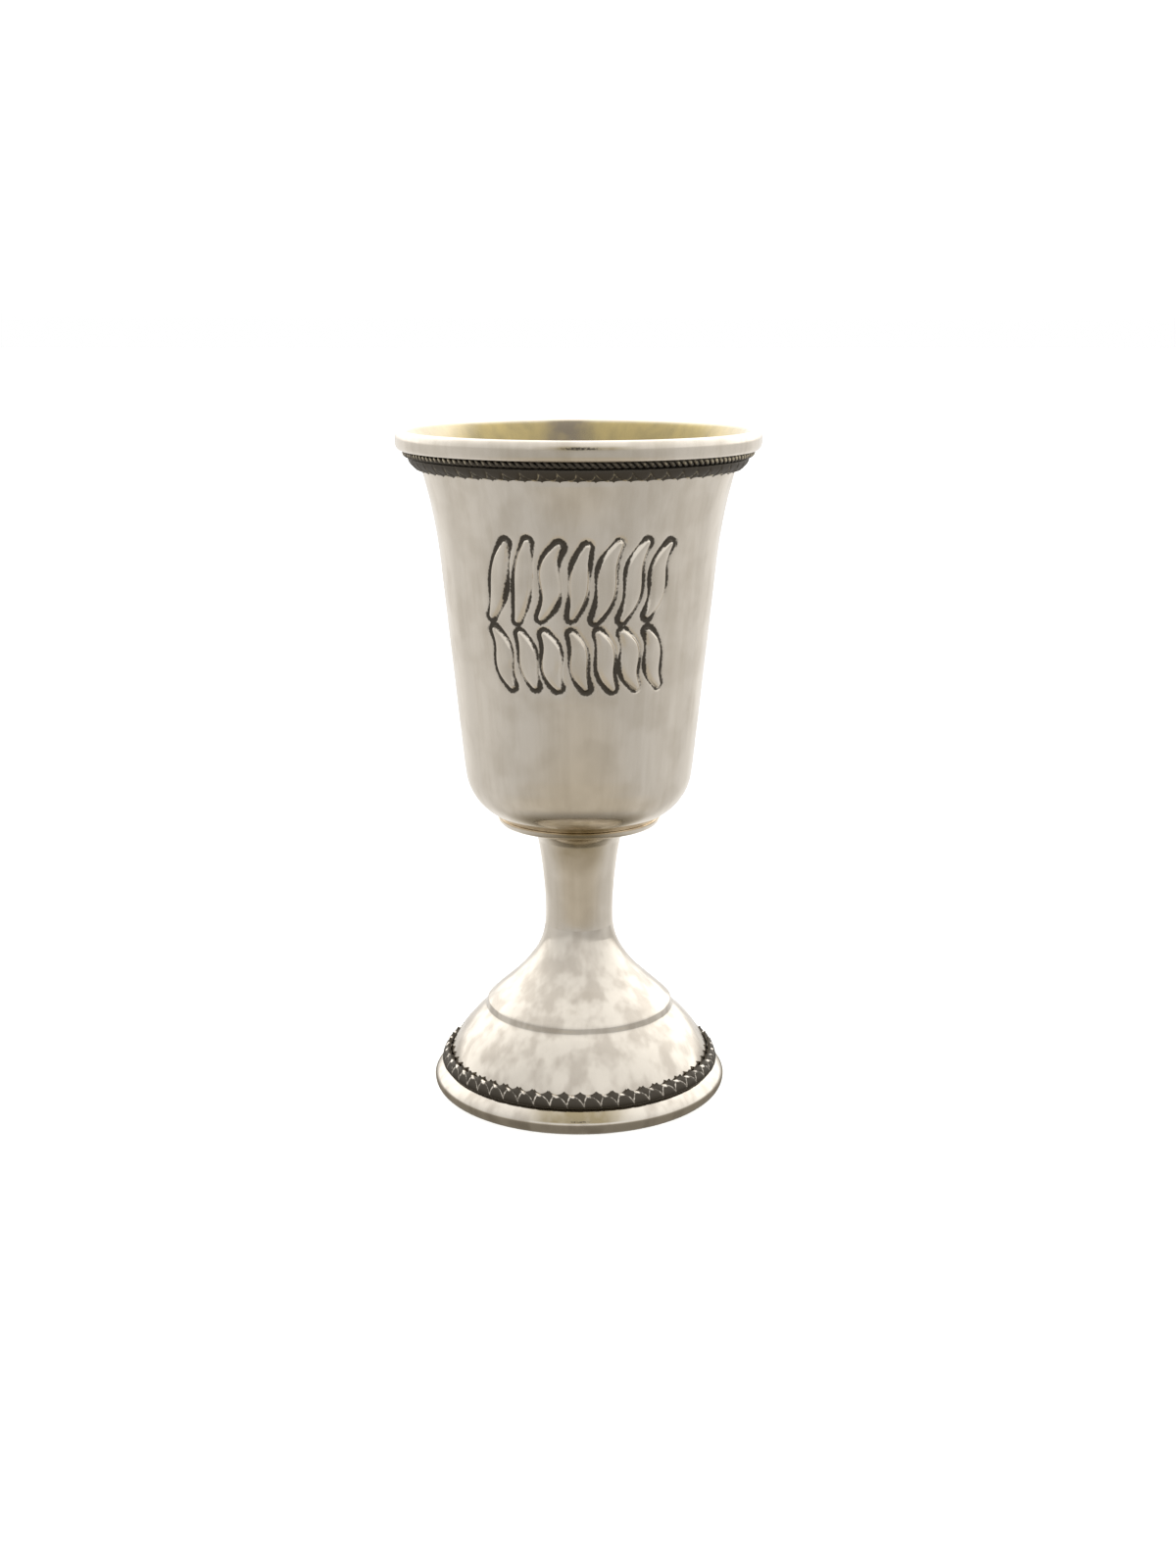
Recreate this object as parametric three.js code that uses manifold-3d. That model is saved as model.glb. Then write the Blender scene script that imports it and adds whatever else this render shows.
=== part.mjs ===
// Kiddush cup: a small silver goblet with a bell-shaped bowl, a slim hollow stem and a domed foot.
// Millimetres, +Z up. The origin is the centre of the foot's underside, and -Y is the front,
// where the bowl carries two rows of raised strokes.

import * as THREE from 'three';
import Module from 'manifold-3d';
import { mergeVertices } from 'three/addons/utils/BufferGeometryUtils.js';
import { ParametricGeometry } from 'three/addons/geometries/ParametricGeometry.js';

// ---- Driving dimensions -------------------------------------------------------------------

const HEIGHT = 120;             // underside of the foot to the top of the lip
const WALL = 0.6;               // thickness of the silver sheet
const GAP = 0.3;                // clearance left where one piece is seated on another
const SOLDER_GAP = 0.1;         // clearance left between a wire or braid and the sheet behind it
const FACETS = 42;              // facets round the bowl and the foot
const STEM_FACETS = 24;         // facets round the stem

// Foot: a rolled rim, a seat for a braid, a dome, a short riser and a flared trumpet.
const RIM = { radius: 26.6, crown: 25.15, widest: 1.55, top: 3.65, foot: 24.3 };
const DOME = { base: [23.6, 6.75], top: [17.3, 15.45], bulge: [[22, 10.1], [20.2, 13.7]] };
const RISER = { base: 16.85, foot: 15.8, lip: 16.15, height: 16.85 };
const TRUMPET = { base: [15.5, 17.2], sweep: [[12.2, 19.5], [8.2, 24.6]], neck: [6.4, 29.3] };
const NECK = { radius: 6.1, height: 31 };

// Stem: a waisted tube that opens into the shallow saucer under the bowl.
const STEM = { foot: 6.05, waist: 5.85, shoulder: 6.5, throat: 7.45 };
const STEM_HEIGHTS = { waist: 37, shoulder: 42.5, throat: 47 };
const SAUCER = { under: [[8.35, 48.6], [9.9, 49.7], [14.2, 50.5]], radius: 14.65, edge: 50.85, top: 51.2 };

// Bowl: a rounded bottom, a gently tapered wall, a bell-shaped flare, a cove and a rolled lip.
const BOTTOM = { radius: 14.4, round: 9.5, centre: [10.8, 60.7], from: -63, to: -8 };
const TAPER = { low: [20.4, 61.3], high: [24.05, 97] };
const FLARE = { sweep: [[24.8, 104.5], [26.1, 109.5]], top: [27, 112.8] };
const COVE = [[26.95, 114.4], [27.3, 115.3], [29, 116.8], [30.5, 117.05]];
const LIP = { centre: [30.3, 118.45], reach: 1.35 };
const MOUTH = [[28.9, 119.1], [27.5, 116.9]];

// Braided bands: flat plaits of three strands. Each follows a ring, is `wide` by `thick` across,
// leans by `lean` degrees and shows `lobes` lobes along either edge. `relief` is how deep the
// hollows between lobes are, as a share of the section.
const FOOT_BRAID = { radius: 24, height: 5.15, wide: 2.9, thick: 1.9, lean: 29, lobes: 54, relief: 0.24 };
const RIM_BRAID = { radius: 28.25, height: 114.5, wide: 2.9, thick: 1.9, lean: -45, lobes: 60, relief: 0.24 };
const BRAID_SIDES = 6;

// The fine twisted wire above the rim's braid.
const RIM_WIRE = { radius: 29.75, height: 116.17, thickness: 0.68, sides: 5 };

// Raised strokes: two rows of leaning, S-curved strokes across the front of the bowl.
const STROKES = { perRow: 7, spread: 67, width: 3.1, proud: 0.45, sunk: 0.3, stations: 4 };
const STROKE_ROWS = [
  { middle: 96.6, length: 13.8, lean: 3.4 },
  { middle: 83.3, length: 10.6, lean: -2.8 },
];

// ---- Outlines, as [radius, height] pairs that run round the section counter-clockwise --------

const radians = THREE.MathUtils.degToRad;

function arc([r, z], reach, rise, from, to, steps) {
  return Array.from({ length: steps + 1 }, (_, i) => {
    const angle = radians(from + ((to - from) * i) / steps);
    return [r + reach * Math.cos(angle), z + rise * Math.sin(angle)];
  });
}

function sweep(start, [first, second], end, steps) {
  const corners = [start, first, second, end].map(([r, z]) => new THREE.Vector2(r, z));
  return new THREE.CubicBezierCurve(...corners).getPoints(steps).map(({ x, y }) => [x, y]);
}

// The other face of a sheet: every point of its outer face, moved in along the face's normal.
function innerFace(outer, thickness) {
  return outer.map(([r, z], i) => {
    const before = outer[Math.max(i - 1, 0)];
    const after = outer[Math.min(i + 1, outer.length - 1)];
    const along = new THREE.Vector2(after[0] - before[0], after[1] - before[1]).normalize();
    return [r - thickness * along.y, z + thickness * along.x];
  }).reverse();
}

function radiusAt(outline, height) {
  const i = outline.findIndex(([, z]) => z >= height);
  const [[r0, z0], [r1, z1]] = [outline[i - 1], outline[i]];
  return THREE.MathUtils.mapLinear(height, z0, z1, r0, r1);
}

// ---- Solids -------------------------------------------------------------------------------

const manifold = await Module();
manifold.setup();

// A closed mesh keeps its positions only, so that neighbouring facets share their corners.
function closed(geometry) {
  const bare = geometry.clone();
  bare.deleteAttribute('normal');
  bare.deleteAttribute('uv');
  const merged = mergeVertices(bare);
  const corners = [...merged.index.array];
  const kept = [];
  for (let i = 0; i < corners.length; i += 3) {
    const [a, b, c] = corners.slice(i, i + 3);
    if (a !== b && b !== c && c !== a) kept.push(a, b, c);
  }
  merged.setIndex(kept);
  return merged;
}

function turned(outline, facets) {
  const profile = outline.map(([r, z]) => new THREE.Vector2(r, z));
  return closed(new THREE.LatheGeometry(profile, facets).rotateX(Math.PI / 2));
}

function toManifold(geometry) {
  const vertProperties = new Float32Array(geometry.attributes.position.array);
  const triVerts = new Uint32Array(geometry.index.array);
  return new manifold.Manifold(new manifold.Mesh({ numProp: 3, vertProperties, triVerts }));
}

function toGeometry(solid) {
  const { vertProperties, triVerts } = solid.getMesh();
  const geometry = new THREE.BufferGeometry();
  geometry.setAttribute('position', new THREE.BufferAttribute(vertProperties, 3));
  geometry.setIndex(new THREE.BufferAttribute(triVerts, 1));
  return geometry;
}

// A plait bent into a ring. Seen from outside, the lobes along its upper edge lie between those
// along its lower edge, so the two rows mesh like the teeth of a zip.
function braidedRing({ radius, height, wide, thick, lean, lobes, relief }) {
  const turn = 2 * Math.PI;
  const tilt = radians(lean);
  const surface = (u, v, target) => {
    const section = turn * (v + 0.5 / BRAID_SIDES);
    const row = Math.sign(Math.sin(section));
    const reach = 1 - (relief * (1 - row * Math.cos(turn * lobes * u))) / 2;
    const across = (thick / 2) * reach * Math.cos(section);
    const along = (wide / 2) * reach * Math.sin(section);
    const out = radius + across * Math.cos(tilt) - along * Math.sin(tilt);
    const up = height + across * Math.sin(tilt) + along * Math.cos(tilt);
    target.set(out * Math.cos(turn * u), out * Math.sin(turn * u), up);
  };
  return closed(new ParametricGeometry(surface, 2 * lobes, BRAID_SIDES));
}

// ---- Foot ---------------------------------------------------------------------------------

// The sheet above the braid's seat: the dome, the riser, the trumpet and its neck.
function footShell(domeSteps, trumpetSteps) {
  return [
    ...sweep(DOME.base, DOME.bulge, DOME.top, domeSteps),
    [RISER.base, RISER.foot],
    [RISER.lip, RISER.height],
    ...sweep(TRUMPET.base, TRUMPET.sweep, TRUMPET.neck, trumpetSteps),
    [NECK.radius, NECK.height],
  ];
}

// The step in the sheet that a braid is soldered into: a ledge under it and a wall behind it.
function braidSeat({ radius, height, wide, thick, lean }) {
  const tilt = radians(lean);
  const back = -thick / 2 - SOLDER_GAP;
  const ends = [-wide / 2 - SOLDER_GAP, wide / 2 + SOLDER_GAP];
  return ends.map((along) => [
    radius + back * Math.cos(tilt) - along * Math.sin(tilt),
    height + back * Math.sin(tilt) + along * Math.cos(tilt),
  ]);
}

function footOutline() {
  const rim = arc([RIM.crown, RIM.widest], RIM.radius - RIM.crown, RIM.top - RIM.widest, -40, 90, 3);
  const base = [[RIM.foot, 0], [rim[0][0], 0]];
  const seat = braidSeat(FOOT_BRAID);
  const inside = innerFace(footShell(2, 3), WALL);
  inside[0] = [NECK.radius - WALL, NECK.height];
  return [
    ...base,
    ...rim.slice(1),
    ...seat,
    ...footShell(4, 4),
    ...inside,
    [seat[1][0] - WALL, FOOT_BRAID.height],
    [RIM.foot, RIM.widest],
    base[0],
  ];
}

// ---- Stem ---------------------------------------------------------------------------------

function stemOutline() {
  const foot = NECK.height + GAP;
  const { waist, shoulder, throat } = STEM_HEIGHTS;
  const tube = sweep(
    [STEM.foot, foot], [[STEM.waist, waist], [STEM.shoulder, shoulder]], [STEM.throat, throat], 4,
  );
  const bore = innerFace(tube, WALL);
  bore[bore.length - 1] = [STEM.foot - WALL, foot];
  return [
    ...tube,
    ...SAUCER.under,
    [SAUCER.radius, SAUCER.edge],
    [SAUCER.radius - 0.25, SAUCER.top],
    [STEM.throat, SAUCER.top],
    ...bore,
    tube[0],
  ];
}

// ---- Bowl ---------------------------------------------------------------------------------

// The bowl's sheet from its rounded bottom to the cove under the lip.
function bowlWall(bottomSteps, flareSteps) {
  return [
    ...arc(BOTTOM.centre, BOTTOM.round, BOTTOM.round, BOTTOM.from, BOTTOM.to, bottomSteps),
    TAPER.low,
    ...sweep(TAPER.high, FLARE.sweep, FLARE.top, flareSteps),
    COVE[0],
  ];
}

const outerWall = bowlWall(4, 2);

function bowlOutline() {
  const seat = SAUCER.top + GAP;
  const lip = arc(LIP.centre, LIP.reach, HEIGHT - LIP.centre[1], -40, 90, 3);
  return [
    [0, seat],
    [BOTTOM.radius, seat],
    ...outerWall,
    ...COVE.slice(1),
    ...lip,
    ...MOUTH,
    ...innerFace(bowlWall(2, 2), WALL),
    [0, seat + WALL],
  ];
}

// One stroke laid flat: a slim S-curve that leans, widest in its middle, with blunt ends.
function strokeShape({ length, lean }) {
  const { width, stations } = STROKES;
  const edge = (side) => Array.from({ length: stations + 1 }, (_, i) => {
    const t = i / stations;
    const middle = lean * (t - 0.5) + 0.16 * lean * Math.sin(2 * Math.PI * t);
    const half = (width / 2) * (0.35 + 0.65 * Math.sin(Math.PI * t));
    return new THREE.Vector2(middle + side * half, length * (t - 0.5));
  });
  return new THREE.Shape([...edge(1), ...edge(-1).reverse()]);
}

// Bends a stroke round the bowl: its width runs round the wall, its depth out from it.
function strokeOnBowl(row, angle) {
  const { proud, sunk } = STROKES;
  const flat = new THREE.ExtrudeGeometry(strokeShape(row), { depth: sunk + proud, bevelEnabled: false });
  const { position } = flat.attributes;
  const middleRadius = radiusAt(outerWall, row.middle);
  for (let i = 0; i < position.count; i += 1) {
    const height = row.middle + position.getY(i);
    const out = radiusAt(outerWall, height) - sunk + position.getZ(i);
    const bearing = angle + position.getX(i) / middleRadius;
    position.setXYZ(i, out * Math.cos(bearing), out * Math.sin(bearing), height);
  }
  return toManifold(closed(flat));
}

function bowl() {
  let solid = toManifold(turned(bowlOutline(), FACETS));
  for (const row of STROKE_ROWS) {
    for (let i = 0; i < STROKES.perRow; i += 1) {
      const share = i / (STROKES.perRow - 1) - 0.5;
      solid = solid.add(strokeOnBowl(row, radians(-90 + STROKES.spread * share)));
    }
  }
  return toGeometry(solid);
}

// ---- Assembly -----------------------------------------------------------------------------

const silver = { color: 0xc6c0b4, metalness: 1, roughness: 0.25 };
const blackened = { color: 0x4a453e, metalness: 0.9, roughness: 0.45 };

function piece(name, geometry, finish) {
  const mesh = new THREE.Mesh(geometry, new THREE.MeshStandardMaterial(finish));
  mesh.name = name;
  return mesh;
}

const { radius: wireRing, height: wireHeight, thickness, sides } = RIM_WIRE;
const wireSection = arc([wireRing, wireHeight], thickness, thickness, 0, 360, sides);

const cup = new THREE.Group();
cup.name = 'kiddush_cup';
cup.add(
  piece('foot', turned(footOutline(), FACETS), silver),
  piece('foot_braid', braidedRing(FOOT_BRAID), blackened),
  piece('stem', turned(stemOutline(), STEM_FACETS), silver),
  piece('bowl', bowl(), silver),
  piece('rim_braid', braidedRing(RIM_BRAID), blackened),
  piece('rim_twisted_wire', turned(wireSection, FACETS), blackened),
);

export default cup;
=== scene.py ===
"""Kiddush cup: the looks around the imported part.

Metres in the scene, millimetres in the outlines below. +Z is up and -Y is the front, as in the CAD.
Every CAD node is replaced by a finer piece of nearly the same outline: turned sheet silver with a
hand-made unevenness, plaited and twisted wires, a gilt lining, and raised strokes in blackened grooves.
"""

import math

import bpy
import numpy as np
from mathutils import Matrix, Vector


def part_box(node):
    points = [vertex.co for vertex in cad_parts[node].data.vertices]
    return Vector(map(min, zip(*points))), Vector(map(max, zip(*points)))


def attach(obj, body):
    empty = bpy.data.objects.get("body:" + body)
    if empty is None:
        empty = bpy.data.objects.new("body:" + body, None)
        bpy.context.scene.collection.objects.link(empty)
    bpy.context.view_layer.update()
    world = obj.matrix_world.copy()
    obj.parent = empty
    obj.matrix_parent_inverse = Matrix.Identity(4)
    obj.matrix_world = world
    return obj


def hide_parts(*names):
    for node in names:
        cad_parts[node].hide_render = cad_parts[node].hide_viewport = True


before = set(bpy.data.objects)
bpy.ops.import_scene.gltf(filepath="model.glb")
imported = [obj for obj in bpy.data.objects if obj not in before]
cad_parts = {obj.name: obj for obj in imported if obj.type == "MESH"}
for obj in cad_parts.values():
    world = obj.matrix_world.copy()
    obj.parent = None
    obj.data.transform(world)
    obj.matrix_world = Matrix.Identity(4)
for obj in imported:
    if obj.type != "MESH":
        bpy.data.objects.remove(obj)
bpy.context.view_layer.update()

MM = 0.001
TURN = 2 * math.pi
FRONT = -math.pi / 2
SHARP_ANGLE = math.radians(58)      # edges that turn more than this aren't shaded smooth

# ---- Outlines: lists of (radius, height) or (radius, height, fillet) in millimetres --------------


def arc(centre, reach, rise, start, end, steps, square=2.0):
    """Part of an ellipse, or of a squarer curve where `square` is above 2."""
    angle = np.radians(np.linspace(start, end, steps + 1))
    across, up = (np.sign(v) * np.abs(v) ** (2 / square) for v in (np.cos(angle), np.sin(angle)))
    return np.column_stack([centre[0] + reach * across, centre[1] + rise * up])


def bezier(a, b, c, d, steps=24):
    """A cubic curve from a to d, drawn towards b and c."""
    t = np.linspace(0, 1, steps + 1)[:, None]
    a, b, c, d = map(np.array, (a, b, c, d))
    return (1 - t) ** 3 * a + 3 * (1 - t) ** 2 * t * b + 3 * (1 - t) * t**2 * c + t**3 * d


def rounded(corners, steps=5):
    """A path through corners given as (radius, height, fillet)."""
    points = [np.array(corner[:2], float) for corner in corners]
    path = [points[0]]
    for i in range(1, len(corners) - 1):
        here, fillet = points[i], corners[i][2]
        to_last, to_next = points[i - 1] - here, points[i + 1] - here
        reach = min(fillet, 0.48 * np.linalg.norm(to_last), 0.48 * np.linalg.norm(to_next))
        start = here + to_last / np.linalg.norm(to_last) * reach
        end = here + to_next / np.linalg.norm(to_next) * reach
        for t in np.linspace(0, 1, steps + 1):
            path.append((1 - t) ** 2 * start + 2 * (1 - t) * t * here + t**2 * end)
    path.append(points[-1])
    return np.array(path)


def joined(*runs):
    """The runs one after the other, without doubled points."""
    path = np.vstack(runs)
    keep = np.ones(len(path), bool)
    keep[1:] = np.linalg.norm(np.diff(path, axis=0), axis=1) > 1e-3
    return path[keep]


def densified(path, spacing):
    """The path with long stretches divided, so that its shading stays even."""
    points = [path[0]]
    for a, b in zip(path[:-1], path[1:]):
        count = max(1, math.ceil(np.linalg.norm(b - a) / spacing))
        points += [a + (b - a) * i / count for i in range(1, count + 1)]
    return np.array(points)


def offset(path, distance):
    """The path moved to its left, which is inwards on an outline that climbs."""
    along = np.gradient(path, axis=0)
    along /= np.linalg.norm(along, axis=1)[:, None]
    return path + distance * np.column_stack([-along[:, 1], along[:, 0]])


def node_heights(node):
    """A CAD node's lowest and highest level, in millimetres."""
    low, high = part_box(node)
    return low[2] / MM, high[2] / MM


FOOT_TOP = node_heights("foot")[1]
BOWL_SEAT, CUP_TOP = node_heights("bowl")
WALL = 0.6
SEAM = 0.004            # the hairline left between the foot's neck and the stem

# Foot: a rolled rim, a braid's seat, a dome, a riser and a trumpet that ends in the neck.
RIM_CENTRE = (24.45, 2.2)
RIM_REACH = 2.28
RIM_SQUARE = 2.1
SEAT_START = (24.85, 4.5)
DOME_START = (23.75, 6.65)
RISER_START = (17.35, 15.05)
TRUMPET_START = (15.9, 17.5)
NECK_START = (6.62, 28.9)
NECK_TOP = (6.2, FOOT_TOP)
RIM_SHOULDER = bezier((26.73, 2.2), (26.73, 3.0), (25.85, 3.75), SEAT_START)
BRAID_SEAT = [(*SEAT_START, 0), (24.55, 4.7, 0.12), (*DOME_START, 0)]
DOME = bezier(DOME_START, (22.5, 9.6), (20.4, 12.5), RISER_START)
RISER = [(*RISER_START, 0), (17.08, 15.3, 0.15), (16.88, 16.6, 0.25), (*TRUMPET_START, 0)]
TRUMPET = bezier(TRUMPET_START, (13.0, 20.25), (8.15, 23.6), NECK_START)
NECK = bezier(NECK_START, (6.42, 29.7), (6.28, 30.5), NECK_TOP)
FOOT_UNDER = [(23.7, 3.4, 1.2), (24.1, 1.4, 0.8), (24.1, 0.0, 0.1)]
FOOT_RING_INNER = (24.16, 0.0)
FOOT_SIDES = 176

# Stem: a waisted tube that opens into a saucer.
STEM_START = (NECK_TOP[0], FOOT_TOP + SEAM)
SAUCER_START = (7.46, 46.97)
STEM = bezier(STEM_START, (5.8, 34.0), (6.5, 42.3), SAUCER_START)
SAUCER = [(*SAUCER_START, 0), (8.3, 48.65, 1.5), (9.9, 49.4, 1.2), (14.25, 50.3, 0.5), (14.76, 51.3, 0.2)]
SAUCER_TOP = 51.44
SAUCER_TOP_RADII = (14.55, 7.5, 7.0)
BORE_FOOT = (5.5, STEM_START[1])
STEM_SIDES = 128

# Bowl: a rounded bottom, a tapered wall, a bell flare, a cove behind the wires and a rolled lip.
BASE_EDGE = [(14.3, BOWL_SEAT, 0.25), (15.2, 52.2, 0.3)]
BOTTOM = arc((10.76, 60.65), 9.51, 9.51, -62, -6, 24)[1:]      # its first step belongs to the base's edge
FLARE_START = (24.08, 97.0)
COVE_START = (27.02, 112.66)
WALL_RUN = np.array([(20.47, 61.5), FLARE_START])
FLARE = bezier(FLARE_START, (24.95, 105.52), (26.22, 109.66), COVE_START)
COVE = [(*COVE_START, 0), (27.2, 115.0, 1.0), (28.7, 116.8, 0.8), (29.95, 117.15, 0.2), (30.5, 116.6, 0)]
LIP_CENTRE = (30.5, 118.45)
LIP_REACH = 1.15
LIP_DROP = LIP_CENTRE[1] - COVE[-1][1]
LIP_RISE = CUP_TOP - LIP_CENTRE[1]
MOUTH = bezier((LIP_CENTRE[0], CUP_TOP), (29.0, 120.0), (27.3, 117.2), (26.3, 113.2), 18)
FLOOR_EDGE = (13.6, BOWL_SEAT + WALL + 0.1, 1.0)
OUTER_WALL = joined(WALL_RUN, FLARE)

# The part of the bowl's mesh that is fine enough for the strokes, and the sides of its rows.
STROKES_FROM, STROKES_TO = 75.8, 105.6
FINE_SPACING = 0.18
FINE_HALF_SECTOR = math.radians(40.5)
FINE_SIDES, OTHER_SIDES, PLAIN_SIDES = 220, 126, 160

# Raised strokes: two rows of leaning S-curves, as on the CAD bowl.
STROKE_ROWS = [
    {"middle": 96.6, "length": 13.8, "lean": 3.4},
    {"middle": 83.3, "length": 10.6, "lean": -2.8},
]
STROKES_PER_ROW = 7
STROKE_SPREAD = math.radians(67.0)
STROKE_WIDTH = 3.1
STROKE_PROUD = 0.45
STROKE_EDGE = 1.15      # the width over which a stroke's edge is rounded
STROKE_STEPS = 60       # divisions of a stroke's centre line
GROOVE_DEPTH = 0.16
GROOVE_GAP = 0.3        # from a stroke's edge out to the middle of its groove
STROKES_HALF_SECTOR = math.radians(46)
NEAR_X, NEAR_Z = 7, 10  # no stroke changes the wall further than this from its middle
MIDDLE_RADIUS = 23      # the wall's radius about halfway up the strokes

# Braids: flat plaits of three strands round a ring. `lean` is the flat's turn from upright, in
# degrees, and `back` how far the band reaches in behind the ring. `slant` leans the loops along it.
# `bite` is how far their points stand out, as a share of the half width: at the upper edge, or at the
# lower one where it is negative. `sweep` shifts the points along the ring, in loops.
FOOT_BRAID = {
    "radius": 24.42, "height": 5.86, "lean": 24.0, "back": 0.18, "loops": 53,
    "slant": 0.12, "polish": 1.0, "bite": 0.24, "sweep": -0.16,
}
RIM_BRAID = {
    "radius": 28.25, "height": 114.5, "lean": -45.0, "back": 0.74, "loops": 60,
    "slant": 0.15, "polish": 0.9, "bite": -0.14, "sweep": 0.0,
}
BAND_HALF = 1.34
BAND_FRONT = 0.42

# One loop's relief: `foot`, `rise` and `up` are shares of the half width, and what stands `proud`,
# `half`, `gap`, `swell` and `radius` are millimetres.
ARCH = {"foot": -0.85, "rise": 1.5, "roundness": 0.55}
STRAND = {"half": 0.155, "proud": 0.24, "polish": 0.7}
LOBE = {"gap": 0.08, "swell": 0.42, "proud": 0.36}
HEAD = {"up": 0.7, "squash": 1.2, "radius": 0.5, "proud": 0.24, "polish": 1.5}

# The fine wire: two strands of radius `strand`, each `offset` from the wire's middle.
RIM_WIRE = {"radius": 29.75, "height": 116.17, "turns": 78, "offset": 0.33, "strand": 0.35}
WIRE_FACES_DOWN = 0.35  # how far the side that shows faces down, against 1 outwards


# ---- Meshes --------------------------------------------------------------------------------------


def add_mesh(name, vertices, faces, attributes, face_materials=None):
    """A smooth-shaded mesh object from millimetres, with one number per vertex for each attribute."""
    mesh = bpy.data.meshes.new(name)
    mesh.from_pydata((np.asarray(vertices) * MM).tolist(), [], faces)
    mesh.update()
    mesh.shade_smooth()
    mesh.set_sharp_from_angle(angle=SHARP_ANGLE)
    for key, values in attributes.items():
        layer = mesh.attributes.new(key, "FLOAT", "POINT")
        layer.data.foreach_set("value", np.asarray(values, np.float32))
    if face_materials is not None:
        mesh.polygons.foreach_set("material_index", np.asarray(face_materials, np.int32))
    obj = bpy.data.objects.new(name, mesh)
    bpy.context.scene.collection.objects.link(obj)
    return obj


def ring_faces(first, second):
    """Quads between two rings of the same count, or triangles that zip two different counts."""
    (a, angles_a), (b, angles_b) = first, second
    n, m = len(a), len(b)
    if n == m:
        return [(a[i], a[(i + 1) % n], b[(i + 1) % n], b[i]) for i in range(n)]
    faces, i, j = [], 0, 0
    while i < n or j < m:
        next_a = angles_a[i + 1] if i + 1 < n else angles_a[0] + TURN
        next_b = angles_b[j + 1] if j + 1 < m else angles_b[0] + TURN
        if j >= m or (i < n and next_a <= next_b):
            faces.append((a[i % n], a[(i + 1) % n], b[j % m]))
            i += 1
        else:
            faces.append((a[i % n], b[(j + 1) % m], b[j % m]))
            j += 1
    return faces


def revolve(path, angles_of, is_closed):
    """Vertices, faces and (row, angle) data of a turned outline. A point on the axis is a pole."""
    vertices, rows, origins = [], [], []
    for index, (radius, height) in enumerate(path):
        angles = [0.0] if radius < 1e-6 else angles_of(index)
        start = len(vertices)
        for angle in angles:
            vertices.append((radius * math.cos(angle), radius * math.sin(angle), height))
            origins.append((index, angle))
        rows.append((list(range(start, len(vertices))), angles))
    faces = []
    pairs = list(zip(rows[:-1], rows[1:])) + ([(rows[-1], rows[0])] if is_closed else [])
    for first, second in pairs:
        a, b = first[0], second[0]
        if len(a) == 1:
            faces += [(a[0], b[(i + 1) % len(b)], b[i]) for i in range(len(b))]
        elif len(b) == 1:
            faces += [(a[i], a[(i + 1) % len(a)], b[0]) for i in range(len(a))]
        else:
            faces += ring_faces(first, second)
    return np.array(vertices), faces, np.array(origins)


def all_round(count):
    """The same evenly spaced angles for every row of a turned outline, from the back round."""
    angles = FRONT - math.pi + TURN * np.arange(count) / count
    return lambda index: angles


def tube_faces(count, sides):
    """Quads of a closed tube with `count` sections of `sides` points each."""
    faces = []
    for i in range(count):
        here, ahead = i * sides, (i + 1) % count * sides
        for j in range(sides):
            k = (j + 1) % sides
            faces.append((here + j, here + k, ahead + k, ahead + j))
    return faces


def push_out(vertices, distance):
    """Moves vertices away from the axis."""
    radius = np.hypot(vertices[:, 0], vertices[:, 1])
    scale = np.where(radius > 1e-6, 1 + distance / np.maximum(radius, 1e-6), 1)
    return np.column_stack([vertices[:, 0] * scale, vertices[:, 1] * scale, vertices[:, 2]])


# ---- Unevenness and marks ------------------------------------------------------------------------


def uneven(angle, height, seed, amount, waves=(3, 5, 8, 13, 21, 34)):
    """A hand-made waviness of turned sheet, mostly round it and slowly changing along it."""
    chance = np.random.default_rng(seed)
    total = np.zeros_like(angle)
    for count in waves:
        phase = chance.uniform(0, TURN)
        drift = chance.uniform(-0.02, 0.02)
        swell = 0.6 + 0.4 * np.sin(height * chance.uniform(0.03, 0.09) + chance.uniform(0, TURN))
        total += np.cos(count * angle + phase + drift * count * height) * swell / count
    return amount * total


def dimples(points, seed, amount, size, waves=14):
    """Soft planishing marks: a smooth noise built from a few crossed waves."""
    chance = np.random.default_rng(seed)
    total = np.zeros(len(points))
    for _ in range(waves):
        direction = chance.normal(size=3)
        direction *= TURN / (size * chance.uniform(0.7, 1.6)) / np.linalg.norm(direction)
        total += np.sin(points @ direction + chance.uniform(0, TURN))
    return amount * total / math.sqrt(waves)


def ramp(value, start, width):
    """Climbs from 0 at start to 1 over the width. A negative width climbs downwards."""
    return np.clip((value - start) / width, 0, 1)


def band(value, low, high, fade_in, fade_out):
    """1 between low and high, with a fade inside each end."""
    return ramp(value, low, fade_in) * ramp(value, high, -fade_out)


def hump(value, middle, half, power=2):
    """A bell of that half width, flat-topped where the power is above 2."""
    return np.exp(-(((value - middle) / half) ** power))


# ---- Foot and stem -------------------------------------------------------------------------------


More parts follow.
